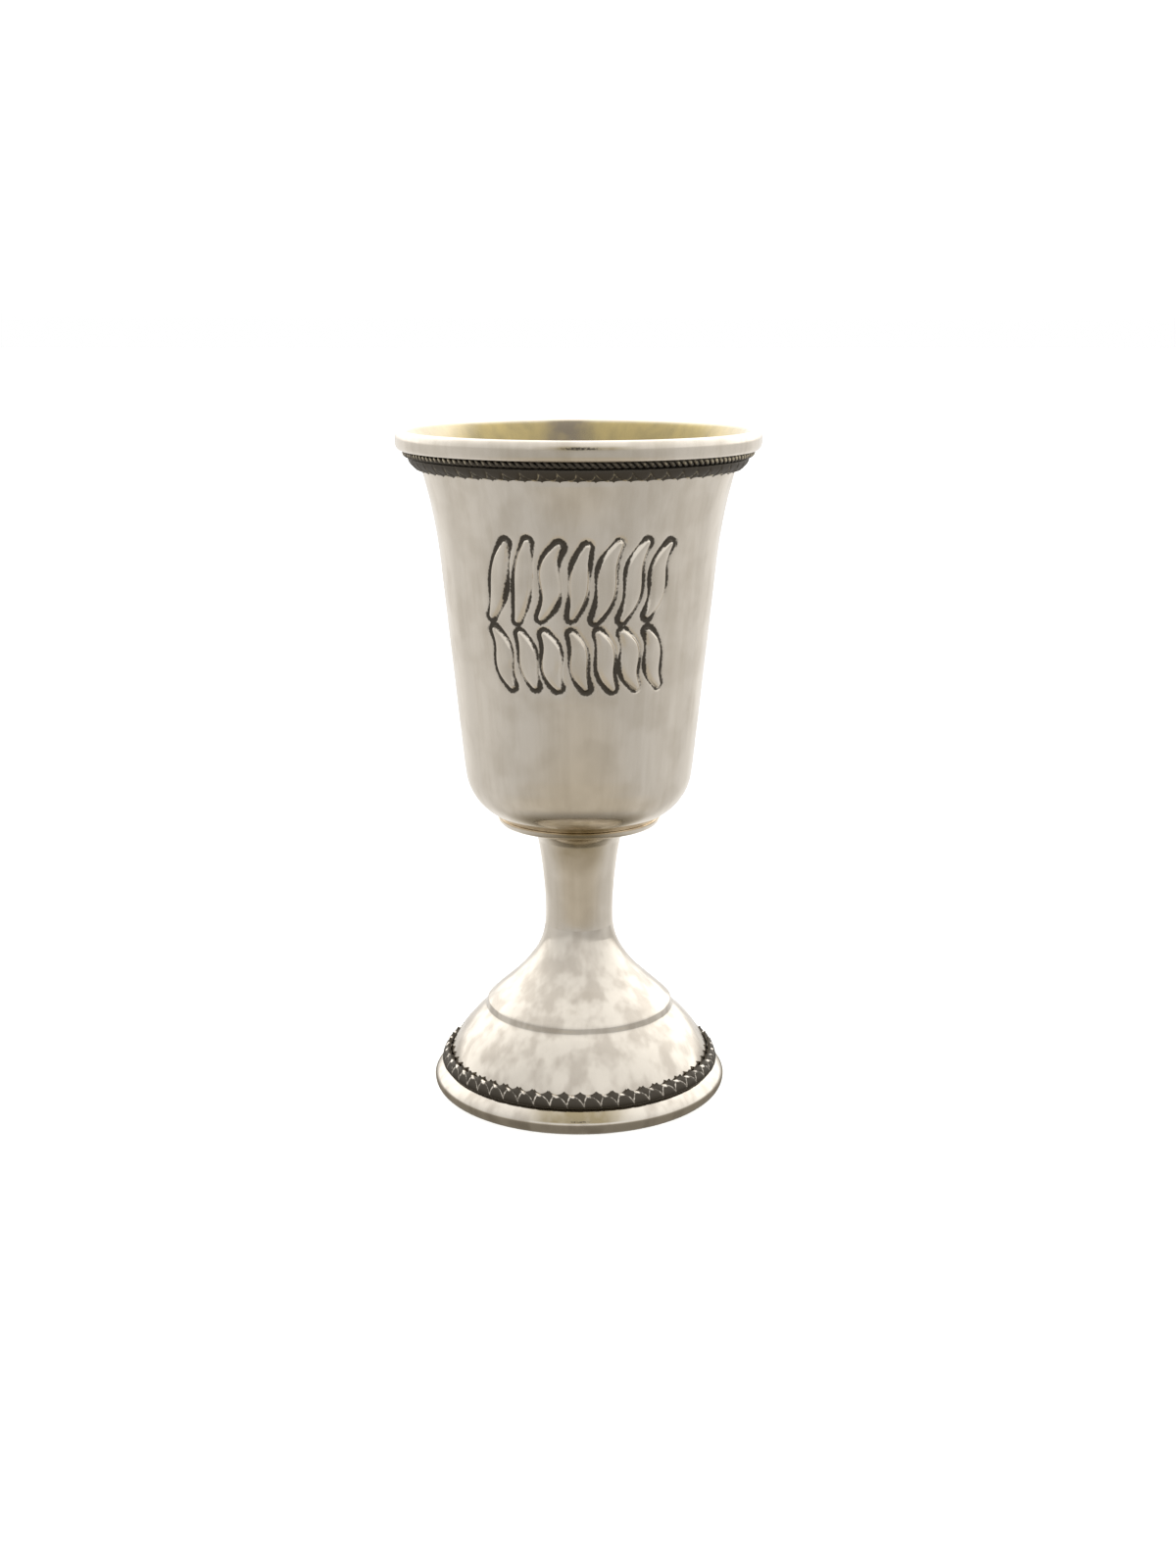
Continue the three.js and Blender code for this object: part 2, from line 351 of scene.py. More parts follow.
def make_foot():
    """Open below: up the outside, down the inside, and round the rim's hollow to the standing ring."""
    rim = arc(RIM_CENTRE, RIM_REACH, RIM_CENTRE[1], -90, 0, steps=20, square=RIM_SQUARE)
    shell = joined(DOME, rounded(RISER), TRUMPET, NECK)
    outside = joined(rim, RIM_SHOULDER, rounded(BRAID_SEAT, steps=8), shell)
    outside = densified(outside, spacing=0.45)
    inside = offset(shell, WALL)[::-1]
    inside[0] = (NECK_TOP[0] - WALL, NECK_TOP[1])
    under = rounded([(*inside[-1], 0), *FOOT_UNDER])
    inside = densified(inside, spacing=0.9)
    under = densified(under, spacing=0.8)
    path = joined(outside, inside, under, [FOOT_RING_INNER])
    vertices, faces, origins = revolve(path, all_round(FOOT_SIDES), is_closed=True)

    row, angle = origins.T
    height = vertices[:, 2]
    waviness = dimples(vertices, seed=11, amount=0.04, size=6.0)
    waviness = waviness + uneven(angle, height, seed=3, amount=0.05)
    above_rim = band(height, low=7, high=31, fade_in=2, fade_out=2)
    vertices = push_out(vertices, waviness * above_rim)

    x, y = vertices[:, 0], vertices[:, 1]
    is_front = (y < 0) & (row < len(outside))
    below_braid = band(height, low=2.6, high=4.5, fade_in=0.2, fade_out=0.2)
    # Painted reflection, front only: a khaki-dark band between the rim and the braid, and a darker spot
    # on the rim's front, where the metal mirrors the dim front.
    tarnish_and_painted_reflection = 0.95 * below_braid * hump(x, middle=0, half=8, power=6)
    painted_flange_reflection = 0.55 * hump(x, middle=0, half=3.2) * hump(height, middle=2.95, half=0.25)
    marks = {"tarnish_and_painted_reflection": tarnish_and_painted_reflection * is_front, "soot_and_painted_dark": painted_flange_reflection * is_front}
    return add_mesh("foot_sheet", vertices, faces, marks)


def make_stem():
    """Up the outside to the saucer's edge, across under the bowl, and down the bore."""
    outside = densified(joined(STEM, rounded(SAUCER)), spacing=0.4)
    top = [(radius, SAUCER_TOP) for radius in SAUCER_TOP_RADII]
    bore = densified(offset(STEM, WALL)[::-1], spacing=1.0)
    path = joined(outside, top, bore, [BORE_FOOT])
    vertices, faces, origins = revolve(path, all_round(STEM_SIDES), is_closed=True)

    height = vertices[:, 2]
    between_joints = band(height, low=31.5, high=49, fade_in=2, fade_out=2)
    waviness = uneven(origins[:, 1], height, seed=5, amount=0.02, waves=(3, 5, 8, 13))
    vertices = push_out(vertices, waviness * between_joints)

    x, y = vertices[:, 0], vertices[:, 1]
    # Painted reflection: the top of the stem's front, under the saucer, turns khaki where it mirrors the
    # dim front.
    tarnish_and_painted_reflection = 0.8 * ramp(height, 41, 6) * hump(x, middle=0, half=4.5, power=4) * (y < 0)
    return add_mesh("stem_tube", vertices, faces, {"tarnish_and_painted_reflection": tarnish_and_painted_reflection})


# ---- Bowl ----------------------------------------------------------------------------------------


def wall_radius(height):
    """The bowl's outer radius at a height, above its rounded bottom."""
    return np.interp(height, OUTER_WALL[:, 1], OUTER_WALL[:, 0])


def stroke_lines():
    """The strokes as (bearing, middle of the row, x, height and half width along the centre line)."""
    lines = []
    chance = np.random.default_rng(31)
    t = np.linspace(0, 1, STROKE_STEPS + 1)
    for row in STROKE_ROWS:
        for i in range(STROKES_PER_ROW):
            share = i / (STROKES_PER_ROW - 1) - 0.5
            lean = row["lean"] * chance.uniform(0.7, 1.15)
            x = lean * (t - 0.5) + chance.uniform(0.08, 0.24) * lean * np.sin(TURN * t)
            half = STROKE_WIDTH * chance.uniform(0.45, 0.53) * (0.4 + 0.6 * np.sin(math.pi * t))
            height = row["middle"] + (row["length"] * chance.uniform(0.91, 1.02) - 1.0) * (t - 0.5)
            bearing = STROKE_SPREAD * share + chance.uniform(-0.011, 0.011)
            lines.append((bearing, row["middle"], x, height, half))
    return lines


def stroke_field(angle, height, is_outside):
    """How proud the surface stands, and how black it is, at each point of the bowl."""
    near = is_outside & (np.abs(angle - FRONT) < STROKES_HALF_SECTOR)
    near = near & (height > STROKES_FROM) & (height < STROKES_TO)
    chosen = np.flatnonzero(near)
    a, z = angle[chosen] - FRONT, height[chosen]
    pad, groove, soot_and_painted_dark = np.zeros((3, len(chosen)))
    flat = np.column_stack([a * MIDDLE_RADIUS, z, 0 * z])
    wander = dimples(flat, seed=21, amount=1.0, size=6.0)
    for bearing, row_middle, line_x, line_height, line_half in stroke_lines():
        x = (a - bearing) * wall_radius(row_middle)
        close = (np.abs(x) < NEAR_X) & (np.abs(z - row_middle) < NEAR_Z)
        gaps = np.hypot(x[close][:, None] - line_x, z[close][:, None] - line_height) - line_half
        nearest = gaps.argmin(1)
        gap = gaps.min(1)
        depth = np.clip(-gap / STROKE_EDGE, 0, 1)
        pad[close] = np.maximum(pad[close], STROKE_PROUD * np.sqrt(1 - (1 - depth) ** 2))
        # The groove round it is wider at the stroke's ends. Its black is oxide in the hollow, made
        # heavier on its left side as painted shade.
        at_ends = (np.abs(nearest / STROKE_STEPS - 0.5) * 2) ** 4
        rim = hump(gap, GROOVE_GAP, 0.34 + 0.14 * at_ends + 0.09 * wander[close])
        shaded_left = x[close] < line_x[nearest]
        strength = np.where(shaded_left, 1.05, 0.66) + 0.32 * wander[close] + 0.35 * at_ends
        groove[close] = np.maximum(groove[close], rim)
        soot_and_painted_dark[close] = np.maximum(soot_and_painted_dark[close], rim * np.clip(strength, 0.25, 1.3))
    proud, black = np.zeros((2, len(angle)))
    proud[chosen] = pad - GROOVE_DEPTH * groove * (pad < 0.2)
    black[chosen] = np.clip(soot_and_painted_dark, 0, 1)
    return proud, black


def bowl_outline():
    """From the middle of the base up the outside, over the lip and down to the middle of the floor.

    Returns the outline and three counts: rows below the fine ones, fine rows, and all rows outside.
    """
    base = rounded([(0, BOWL_SEAT, 0), *BASE_EDGE, (*BOTTOM[0], 0)])
    wall = densified(joined(BOTTOM, WALL_RUN), spacing=0.6)
    lower = joined(densified(base, spacing=1.2), wall)
    lower = lower[lower[:, 1] < STROKES_FROM]
    steps = int((STROKES_TO - STROKES_FROM) / FINE_SPACING)
    heights = np.linspace(STROKES_FROM, STROKES_TO, steps + 1)
    fine = np.column_stack([wall_radius(heights), heights])
    flare = joined([fine[-1]], FLARE[FLARE[:, 1] > STROKES_TO + 0.1])
    lip = joined(
        arc(LIP_CENTRE, LIP_REACH, LIP_DROP, -90, 0, steps=16, square=2.6),
        arc(LIP_CENTRE, LIP_REACH, LIP_RISE, 0, 90, steps=16, square=2.3),
    )
    cove_and_lip = densified(joined(rounded(COVE), lip), spacing=0.4)
    upper = joined(densified(flare, spacing=0.5)[1:], cove_and_lip)
    inner_wall = offset(joined(BOTTOM, WALL_RUN, FLARE), WALL)[::-1]
    inner_wall = inner_wall[inner_wall[:, 1] < MOUTH[-1, 1] - 0.4]
    inside = densified(joined(MOUTH, inner_wall), spacing=0.9)
    floor = rounded([(*inner_wall[-1], 0), FLOOR_EDGE, (0, BOWL_SEAT + WALL, 0)])
    floor = densified(floor, spacing=1.2)
    path = joined(lower, fine, upper, inside[1:], floor[1:])
    path[0, 0] = path[-1, 0] = 0.0
    return path, len(lower), len(fine), len(lower) + len(fine) + len(upper)


def bowl_angles(fine_from, fine_rows):
    """The angles of a row of the bowl: many in front on the fine rows, and even on the others."""
    front = np.linspace(FRONT - FINE_HALF_SECTOR, FRONT + FINE_HALF_SECTOR, FINE_SIDES)
    rest = np.linspace(FRONT + FINE_HALF_SECTOR, FRONT - FINE_HALF_SECTOR + TURN, OTHER_SIDES)[1:-1]
    fine = np.concatenate([front, rest])
    plain = FRONT - FINE_HALF_SECTOR + TURN * np.arange(PLAIN_SIDES) / PLAIN_SIDES
    return lambda row: fine if fine_from <= row < fine_from + fine_rows else plain


def bowl_marks(vertices, is_outside, grooves):
    """Blackened grooves, painted reflections, worn gilt and silver showing at each vertex of the bowl,
    from 0 to 1.
    """
    x, y, height = vertices.T
    is_front = is_outside & (y < 0)

    # Outside, on the front only, painted reflections of the dim front: a khaki patch above the joint with
    # the stem, a brown and a black line round the lip, and a khaki film over the lip's face.
    painted_reflection_by_joint = 0.75 * band(height, low=51.6, high=55.5, fade_in=0.5, fade_out=1.1)
    painted_reflection_by_joint = painted_reflection_by_joint * hump(x, middle=0, half=10, power=4)
    on_lip = hump(height, middle=118.8, half=0.36)
    painted_camera_reflection = on_lip * hump(x, middle=1, half=7.4, power=4)
    painted_lens_reflection = 0.68 * on_lip * hump(x, middle=0.5, half=4.4)
    painted_lip_reflection = 0.26 * band(height, low=116.9, high=119.2, fade_in=0.4, fade_out=0.4)
    painted_lip_reflection = painted_lip_reflection * hump(x, middle=-1, half=12, power=4)
    painted_reflections = np.maximum(painted_reflection_by_joint, np.maximum(painted_lip_reflection, painted_camera_reflection)) * is_front

    # Inside, a patch opposite the front is worn grey. Towards the left and right near the top, and at the
    # edge, the lining turns to silver.
    worn = hump(x, middle=-2.2, half=4.4, power=4) * (y > 0)
    worn = worn * band(height, low=96, high=119.9, fade_in=14, fade_out=0.5)
    to_sides = np.maximum(ramp(x, 22, 7), ramp(x, -18, -6))
    paler_sides = 0.35 * to_sides * ramp(height, 114, 4)
    return {
        "soot_and_painted_dark": np.maximum(grooves, painted_lens_reflection * is_front),
        "tarnish_and_painted_reflection": np.where(is_outside, painted_reflections, worn),
        "bare": np.maximum(ramp(height, 119.3, 0.6), paler_sides),
    }


def make_bowl():
    """The sheet silver bowl with its raised strokes, gilt from the top of the lip inwards."""
    path, fine_from, fine_rows, outside_rows = bowl_outline()
    vertices, faces, origins = revolve(path, bowl_angles(fine_from, fine_rows), is_closed=False)
    row = origins[:, 0]
    angle = np.mod(origins[:, 1] - FRONT + math.pi, TURN) + FRONT - math.pi
    height = vertices[:, 2]
    is_outside = row < outside_rows
    proud, black = stroke_field(angle, height, is_outside)
    free = band(height, low=53, high=113, fade_in=4, fade_out=3)
    waviness = uneven(angle, height, seed=9, amount=0.05)
    waviness = waviness + dimples(vertices, seed=12, amount=0.012, size=12)
    vertices = push_out(vertices, proud + waviness * free)
    is_gilt = np.array([row[face[0]] >= outside_rows - 1 for face in faces])
    return add_mesh("bowl_sheet", vertices, faces, bowl_marks(vertices, is_outside, black), is_gilt)


# ---- Braids and wires ----------------------------------------------------------------------------


def ring_point(ring, angle, along, across):
    """A point beside a ring: `along` runs up its leaning plane, `across` stands out from it."""
    lean = math.radians(ring["lean"])
    radius = ring["radius"] + across * math.cos(lean) - along * math.sin(lean)
    height = ring["height"] + across * math.sin(lean) + along * math.cos(lean)
    return np.column_stack([radius * np.cos(angle), radius * np.sin(angle), height])


def loop_relief(x, y, pitch):
    """Height and polish of one loop of the plait, on its flat of one pitch by the band's width.

    A thin polished strand climbs and falls in a round-headed arch. Dark lobes swell on both sides.
    """
    t = np.linspace(-1, 2, 241)
    arch_x = t * pitch
    arch_y = BAND_HALF * (ARCH["foot"] + ARCH["rise"] * np.abs(np.sin(math.pi * t)) ** ARCH["roundness"])
    gap = np.hypot(x[:, None] - arch_x, y[:, None] - arch_y).min(1)
    lobe = np.sqrt(1 - (1 - ramp(gap, LOBE["gap"], LOBE["swell"])) ** 2)
    strand = hump(gap, 0, STRAND["half"])
    from_head = np.hypot(np.mod(x, pitch) - pitch / 2, (y - HEAD["up"] * BAND_HALF) * HEAD["squash"])
    head = hump(from_head, 0, HEAD["radius"])
    relief = LOBE["proud"] * lobe + STRAND["proud"] * strand + HEAD["proud"] * head
    return relief, np.maximum(STRAND["polish"] * strand, HEAD["polish"] * head)


def make_braid(name, ring, samples=26, sides=44):
    """A plaited band: a closed tube of flat section that carries the loops on its outer side."""
    loops = ring["loops"]
    pitch = TURN * ring["radius"] / loops
    pointed_side = np.sign(ring["bite"])
    section = TURN * np.arange(sides) / sides
    section = section - 0.16 * np.sin(2 * section)      # closer together on the band's two flats
    u, s = np.meshgrid(np.arange(samples) / samples, section, indexing="ij")

    edge = np.clip(np.sin(s) * pointed_side, 0, 1)
    points = 1 - 2 * np.abs(np.sin(math.pi * u)) ** 0.8
    y = BAND_HALF * np.sin(s) * (1 + (0.04 + abs(ring["bite"]) * points) * edge)
    lift = 0.9 * np.clip(np.abs(y) - BAND_HALF, 0, None)
    x = (u + ring["slant"] * y / BAND_HALF) * pitch

    relief, polish = loop_relief(x.ravel(), y.ravel() * pointed_side, pitch)
    outwards = np.clip(np.cos(s), 0, 1) ** 0.35
    relief = relief.reshape(y.shape) * outwards
    polish = polish.reshape(y.shape) * ring["polish"] * outwards
    depth = np.where(np.cos(s) > 0, BAND_FRONT, ring["back"]) * np.cos(s) + lift

    # Each loop differs a little from the next, and they meet where `settle` is 0.
    settle = 0.5 - 0.5 * np.cos(TURN * u)
    chance = np.random.default_rng(loops)
    vertices, shine = [], []
    for loop in range(loops):
        swell = chance.uniform(0.85, 1.12)
        shift = chance.uniform(-0.05, 0.05)
        wear_and_painted_sheen = chance.uniform(0.55, 1.1)
        along = y + 0.8 * shift * settle
        across = depth + relief * (1 + (swell - 1) * settle)
        angle = TURN * (loop + u + ring["sweep"] * edge**2) / loops
        vertices.append(ring_point(ring, angle.ravel(), along.ravel(), across.ravel()))
        shine.append((polish * (1 + (wear_and_painted_sheen - 1) * settle)).ravel())
    shine = np.clip(np.concatenate(shine), 0, 1)
    return add_mesh(name, np.vstack(vertices), tube_faces(loops * samples, sides), {"shine": shine})


def tube(centres, outward, radius, sides):
    """Points of a closed tube along centres, and their turn from the side that faces outward."""
    along = np.roll(centres, -1, 0) - np.roll(centres, 1, 0)
    along /= np.linalg.norm(along, axis=1)[:, None]
    normal = outward - (outward * along).sum(1)[:, None] * along
    normal /= np.linalg.norm(normal, axis=1)[:, None]
    side = np.cross(along, normal)
    turn = TURN * np.arange(sides) / sides
    points = (
        centres[:, None]
        + radius * np.cos(turn)[None, :, None] * normal[:, None]
        + radius * np.sin(turn)[None, :, None] * side[:, None]
    )
    return points.reshape(-1, 3), np.tile(turn, len(centres))


def make_wire(name, ring, samples=14, sides=9):
    """Two strands twisted round each other, their crests worn bright. Round the rim a painted highlight
    dims them at the front's middle and brightens them towards its sides, three times round.
    """
    vertices, faces, shine = [], [], []
    count = ring["turns"] * samples
    angle = TURN * np.arange(count) / count
    outward = np.column_stack([np.cos(angle), np.sin(angle), np.full(count, -WIRE_FACES_DOWN)])
    # Painted highlight: the crests are dimmest at the front's middle and brightest a sixth of a turn to
    # each side.
    wear_and_painted_sheen = 0.7 - 0.3 * np.cos(3 * (angle - FRONT))
    for strand in range(2):
        phase = ring["turns"] * angle + math.pi * strand
        radius = ring["radius"] + ring["offset"] * np.cos(phase)
        height = ring["height"] - ring["offset"] * np.sin(phase)
        centres = np.column_stack([radius * np.cos(angle), radius * np.sin(angle), height])
        points, turn = tube(centres, outward, ring["strand"], sides)
        start = strand * count * sides
        faces += [tuple(start + i for i in face) for face in tube_faces(count, sides)]
        vertices.append(points)
        crest = np.repeat(np.clip(np.cos(phase), 0, 1), sides) * np.clip(0.3 + 0.7 * np.cos(turn), 0, 1)
        shine.append(crest**2.5 * np.repeat(wear_and_painted_sheen, sides))
    return add_mesh(name, np.vstack(vertices), faces, {"shine": np.concatenate(shine)})


# ---- Materials -----------------------------------------------------------------------------------

SILVER = (0.97, 0.895, 0.785, 1)
DULL = (0.80, 0.725, 0.615, 1)
# The foot's silver and its clouds are dimmer copies of SILVER and DULL: painted shade.
SHADED_SILVER = (0.93, 0.86, 0.755, 1)
SHADED_CLOUDS = (0.675, 0.61, 0.525, 1)
# Black oxide; through the soot mark it is also painted shade and painted dark reflections.
OXIDE_AND_PAINTED_DARK = (0.105, 0.092, 0.075, 1)
GILT = (0.57, 0.455, 0.21, 1)
GILT_DULL = (0.42, 0.345, 0.18, 1)
# A khaki painted reflection of the dim front, on the outside of the silver.
PAINTED_KHAKI_REFLECTION = (0.44, 0.365, 0.225, 1)
GREY_STAIN = (0.28, 0.235, 0.175, 1)
WORN = (0.66, 0.58, 0.42, 1)
WHITE = (1, 1, 1, 1)


class Nodes:
    """A short way to build a node tree."""

    def __init__(self, tree):
        self.tree = tree
        tree.nodes.clear()

    def add(self, kind, inputs=None, **settings):
        node = self.tree.nodes.new(kind)
        for key, value in settings.items():
            setattr(node, key, value)
        for key, value in (inputs or {}).items():
            socket = node.inputs[key]
            if isinstance(value, bpy.types.NodeSocket):
                self.tree.links.new(value, socket)
            else:
                socket.default_value = value
        return node

    def math(self, operation, a, b=0.0, c=0.0):
        return self.add("ShaderNodeMath", {0: a, 1: b, 2: c}, operation=operation).outputs[0]

    def hypotenuse(self, a, b):
        a_squared = self.math("MULTIPLY", a, a)
        b_squared = self.math("MULTIPLY", b, b)
        return self.math("SQRT", self.math("ADD", a_squared, b_squared))

    def remap(self, value, low, high, to_low=0.0, to_high=1.0, smooth=True):
        node = self.add(
            "ShaderNodeMapRange",
            {"Value": value, "From Min": low, "From Max": high, "To Min": to_low, "To Max": to_high},
            interpolation_type="SMOOTHSTEP" if smooth else "LINEAR",
        )
        return node.outputs[0]

    def mix(self, factor, a, b):
        """Colours mixed. A Mix node's colour sockets are number 6 and 7, and its colour output is 2."""
        return self.add("ShaderNodeMix", {0: factor, 6: a, 7: b}, data_type="RGBA").outputs[2]

    def noise(self, scale, stretch=(1, 1, 1), detail=2.0, roughness=0.5):
        where = self.add("ShaderNodeTexCoord").outputs["Object"]
        where = self.add("ShaderNodeMapping", {"Vector": where, "Scale": stretch}).outputs[0]
        node = self.add(
            "ShaderNodeTexNoise",
            {"Vector": where, "Scale": scale, "Detail": detail, "Roughness": roughness},
        )
        return node.outputs["Fac"]

    def attribute(self, name):
        return self.add("ShaderNodeAttribute", attribute_name=name).outputs["Fac"]

    def surface(self, shader):
        self.add("ShaderNodeOutputMaterial", {"Surface": shader.outputs[0]})

    def metal_surface(self, colour, rough, relief, strength, distance):
        """Bare metal with a fine relief, which is `distance` metres deep."""
        bump = self.add("ShaderNodeBump", {"Strength": strength, "Distance": distance, "Height": relief})
        self.surface(self.add("ShaderNodeBsdfPrincipled", {
            "Base Color": colour, "Metallic": 1.0, "Roughness": rough, "Normal": bump.outputs[0],
        }))


def new_material(name):
    material = bpy.data.materials.new(name)
    material.use_nodes = True
    return material, Nodes(material.node_tree)


def metal(
    name, bright, dull, marks, streaks=0.05, roughness=(0.12, 0.24), blotch=150, cloudy=0.55,
    tall=1.0, stain_and_painted_reflection=PAINTED_KHAKI_REFLECTION,
):
    """Bright metal, dulled by clouds and streaks, with the marks that the mesh's attributes say.

    `blotch` is the scale of the clouds and `cloudy` their share against the streaks. `tall` and
    `streaks` below 1 draw the clouds and the streaks out upwards.
    """
    material, nodes = new_material(name)
    cloud = nodes.remap(nodes.noise(blotch, (1, 1, tall)), 0.38, 0.66)
    streak = nodes.remap(nodes.noise(420, (1, 1, streaks), detail=3.0, roughness=0.6), 0.35, 0.7)
    dulled = nodes.math("MULTIPLY_ADD", streak, 1 - cloudy, nodes.math("MULTIPLY", cloud, cloudy))
    colour = nodes.mix(dulled, bright, dull)
    rough = nodes.remap(dulled, 0.0, 1.0, *roughness, smooth=False)
    if "bare" in marks:
        colour = nodes.mix(nodes.attribute("bare"), colour, SILVER)
    # Tarnish mark: worn gilt inside the bowl, and on the silver outside a painted khaki reflection of the
    # dim front.
    if "tarnish_and_painted_reflection" in marks:
        patchy = nodes.remap(nodes.noise(260, detail=3.0), 0.3, 0.7, 0.7, 1.15)
        colour = nodes.mix(nodes.math("MULTIPLY", nodes.attribute("tarnish_and_painted_reflection"), patchy), colour, stain_and_painted_reflection)
    # Soot mark: black oxide in the strokes' grooves, with painted shade on their left sides, and painted
    # dark reflections on the lip and the foot's rim.
    if "soot_and_painted_dark" in marks:
        grain = nodes.remap(nodes.noise(2600), 0.3, 0.7, 0.75, 1.25)
        soot_and_painted_dark = nodes.remap(nodes.math("MULTIPLY", nodes.attribute("soot_and_painted_dark"), grain), 0.28, 0.72)
        colour = nodes.mix(soot_and_painted_dark, colour, OXIDE_AND_PAINTED_DARK)
        rough = nodes.math("MULTIPLY_ADD", soot_and_painted_dark, 0.25, rough)
    brushed = nodes.noise(2200, (1, 1, 0.04), detail=4.0, roughness=0.65)
    nodes.metal_surface(colour, rough, brushed, strength=0.12, distance=0.00002)
    return material


def wire_metal(name, shine_from, shine_to, worn):
    """Blackened metal, worn to a brighter one where the mesh's shine is above `shine_from`."""
    material, nodes = new_material(name)
    grain = nodes.remap(nodes.noise(1900, detail=3.0), 0.3, 0.7, 0.7, 1.3)
    shine = nodes.remap(nodes.math("MULTIPLY", nodes.attribute("shine"), grain), shine_from, shine_to)
    colour = nodes.mix(shine, OXIDE_AND_PAINTED_DARK, worn)
    rough = nodes.remap(shine, 0.0, 1.0, 0.5, 0.25, smooth=False)
    nodes.metal_surface(colour, rough, nodes.noise(5200, detail=3.0), strength=0.3, distance=0.00003)
    return material


# ---- Stage: floor, light and camera, in metres ---------------------------------------------------

PLANE_HALF = 6.0
TABLE_LEVEL = -0.0002
FLOOR_WHITE = (0.86, 0.86, 0.85, 1)
TABLE_WARM = (1.0, 0.86, 0.62, 1)
TABLE_PALE = (1.0, 0.985, 0.965, 1)
LOW_LIGHT = (1.0, 0.98, 0.95, 1)
HIGH_LIGHT = (1.0, 0.995, 0.985, 1)
WARM_PATCH = 0.095      # how far in front of the cup the table's warm patch lies
SUN_STRENGTH = 3.2
SUN_ANGLE = math.radians(60)
CAMERA_PLACE = (0.00162, -0.3425, 0.14106)
CAMERA_TILT = 0.241     # below the horizon, in radians
LENS_MM = 44.96
SENSOR_MM = 36.0


def flat_plane(name, level, material):
    mesh = bpy.data.meshes.new(name)
    corners = [(-1, -1), (1, -1), (1, 1), (-1, 1)]
    mesh.from_pydata([(x * PLANE_HALF, y * PLANE_HALF, level) for x, y in corners], [], [(0, 1, 2, 3)])
    mesh.materials.append(material)
    plane = bpy.data.objects.new(name, mesh)
    bpy.context.scene.collection.objects.link(plane)
    return plane


def make_floor():
    """A plain pale floor."""
    material, nodes = new_material("floor_white")
    nodes.surface(nodes.add("ShaderNodeBsdfDiffuse", {"Color": FLOOR_WHITE, "Roughness": 1.0}))
    floor = flat_plane("floor", 0.0, material)
    floor.visible_glossy = False
    floor.visible_shadow = False


def make_table_tone():
    """The table's tone in the metal: dim under the cup, even in front, brighter behind."""
    material, nodes = new_material("table_tone")
    where = nodes.add("ShaderNodeTexCoord").outputs["Object"]
    x, y, _ = nodes.add("ShaderNodeSeparateXYZ", {"Vector": where}).outputs
    away = nodes.hypotenuse(x, y)
    ahead = nodes.math("DIVIDE", nodes.math("MULTIPLY", y, -1.0), nodes.math("ADD", away, 0.001))
    level = nodes.math(
        "ADD",
        nodes.remap(ahead, 0.9, -0.2, 0.465, 0.60, smooth=False),
        nodes.remap(ahead, -0.45, -1.0, 0.0, 0.28),
    )
    shade = nodes.remap(away, 0.027, 0.058, 0.42, 1.0)
    from_patch = nodes.hypotenuse(x, nodes.math("ADD", y, WARM_PATCH))
    paleness = nodes.math("MINIMUM", shade, nodes.remap(from_patch, 0.04, 0.15, 0.5, 1.0))
    tint = nodes.mix(paleness, TABLE_WARM, TABLE_PALE)
    strength = nodes.math("MULTIPLY", level, shade)
    nodes.surface(nodes.add("ShaderNodeEmission", {"Color": tint, "Strength": strength}))
    table = flat_plane("table_tone", TABLE_LEVEL, material)
    for rays in ("visible_camera", "visible_diffuse", "visible_shadow", "visible_transmission"):
        setattr(table, rays, False)


def make_world():
    """Pale surroundings: white behind the cup, and to the metal dimmer in front and low down."""
    world = bpy.data.worlds.new("studio")
    bpy.context.scene.world = world
    world.use_nodes = True
    nodes = Nodes(world.node_tree)
    where = nodes.add("ShaderNodeTexCoord").outputs["Generated"]
    x, y, z = nodes.add("ShaderNodeSeparateXYZ", {"Vector": where}).outputs
    ahead = nodes.math("MULTIPLY", y, -1.0)
    around = nodes.remap(ahead, 0.62, -0.35, 0.79, 1.05)
    behind = nodes.remap(ahead, -0.05, -0.7, 0.0, 0.5)
    right = nodes.math("MULTIPLY", x, 0.09)
    high = nodes.math("ADD", nodes.math("ADD", around, behind), right)
    high = nodes.math("MULTIPLY", high, nodes.remap(z, 0.0, 0.7, 0.86, 1.0))
    low = nodes.remap(y, -0.5, 1.0, 0.46, 0.95)
    is_high = nodes.remap(z, -0.04, 0.1)
    is_low = nodes.math("SUBTRACT", 1.0, is_high)
    level = nodes.math("ADD", nodes.math("MULTIPLY", low, is_low), nodes.math("MULTIPLY", high, is_high))
    tint = nodes.mix(is_high, LOW_LIGHT, HIGH_LIGHT)
    seen = nodes.add("ShaderNodeLightPath").outputs["Is Camera Ray"]
    shader = nodes.add("ShaderNodeBackground", {
        "Color": nodes.mix(seen, tint, WHITE), "Strength": nodes.math("MAXIMUM", level, seen),
    })
    nodes.add("ShaderNodeOutputWorld", {"Surface": shader.outputs[0]})


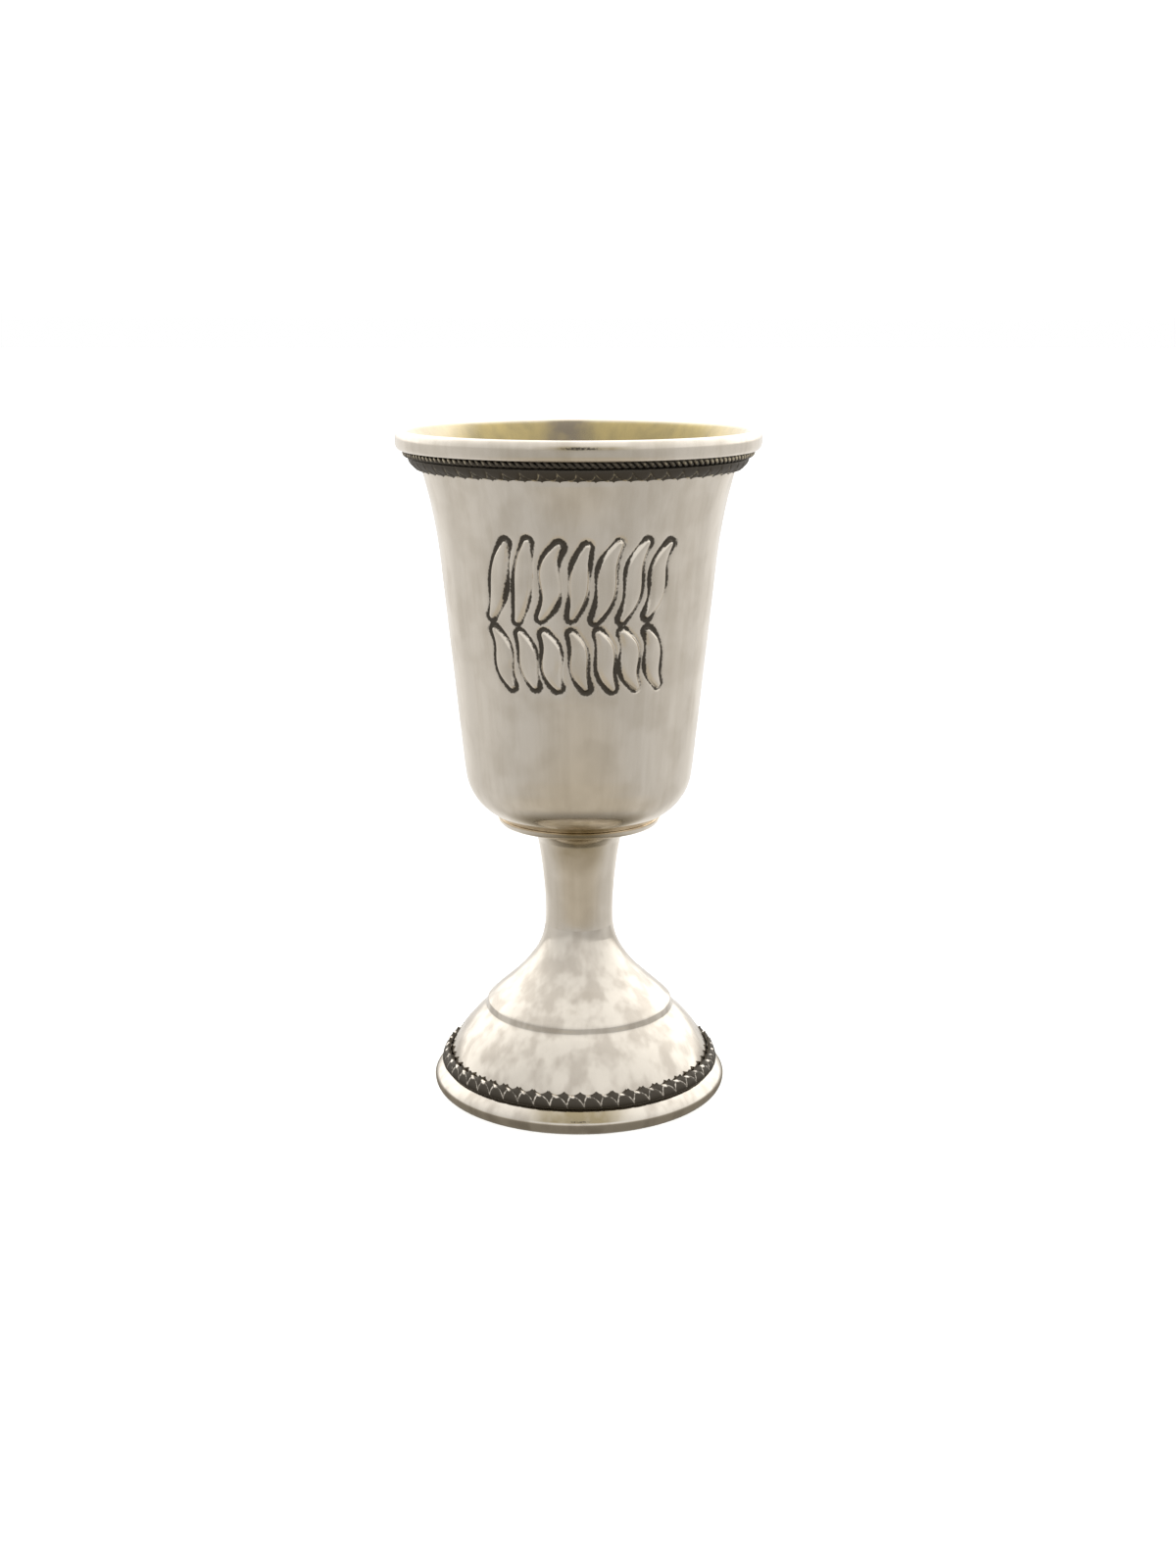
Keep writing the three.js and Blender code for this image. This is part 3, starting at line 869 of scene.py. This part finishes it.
def make_light():
    """A soft, shadowless wash from straight above, which the metal doesn't mirror."""
    light = bpy.data.lights.new("floor_wash", "SUN")
    light.energy = SUN_STRENGTH
    light.angle = SUN_ANGLE
    light.use_shadow = False
    sun = bpy.data.objects.new("floor_wash", light)
    sun.location = (0, 0, 1)
    sun.visible_glossy = False
    bpy.context.scene.collection.objects.link(sun)


def make_camera():
    lens = bpy.data.cameras.new("camera")
    lens.lens = LENS_MM
    lens.sensor_width = SENSOR_MM
    lens.clip_start = 0.01
    lens.clip_end = 50
    camera = bpy.data.objects.new("camera", lens)
    camera.location = CAMERA_PLACE
    camera.rotation_euler = (math.radians(90) - CAMERA_TILT, 0, 0)
    bpy.context.scene.collection.objects.link(camera)
    bpy.context.scene.camera = camera


# ---- Putting it together -------------------------------------------------------------------------


def place(piece, node, slot, *materials):
    for material in materials:
        piece.data.materials.append(material)
    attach(piece, "root")
    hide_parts(node)


make_camera()
make_floor()
make_table_tone()
make_world()
make_light()
bpy.context.scene.view_settings.view_transform = "Standard"

silver_bowl = metal("silver_bowl", SILVER, DULL, ("tarnish_and_painted_reflection", "soot_and_painted_dark"))
silver_foot = metal(
    "silver_foot", SHADED_SILVER, SHADED_CLOUDS, ("tarnish_and_painted_reflection", "soot_and_painted_dark"), streaks=0.6, roughness=(0.09, 0.2),
    blotch=300, cloudy=0.85, tall=0.5,
)
silver_stem = metal("silver_stem", SILVER, DULL, ("tarnish_and_painted_reflection",))
gilt = metal(
    "gilt_lining", GILT, GILT_DULL, ("bare", "tarnish_and_painted_reflection"), streaks=0.3, roughness=(0.16, 0.3),
    stain_and_painted_reflection=GREY_STAIN,
)
blackened_wire = wire_metal("blackened_wire", 0.25, 0.85, SILVER)
blackened_twist = wire_metal("blackened_twist", 0.3, 1.0, WORN)

place(make_foot(), "foot", "silver", silver_foot)
place(make_stem(), "stem", "silver", silver_stem)
place(make_bowl(), "bowl", "silver", silver_bowl, gilt)
place(make_braid("foot_braid_strands", FOOT_BRAID), "foot_braid", "blackened_silver", blackened_wire)
place(make_braid("rim_braid_strands", RIM_BRAID), "rim_braid", "blackened_silver", blackened_twist)
place(make_wire("rim_wire_strands", RIM_WIRE), "rim_twisted_wire", "blackened_silver", blackened_twist)
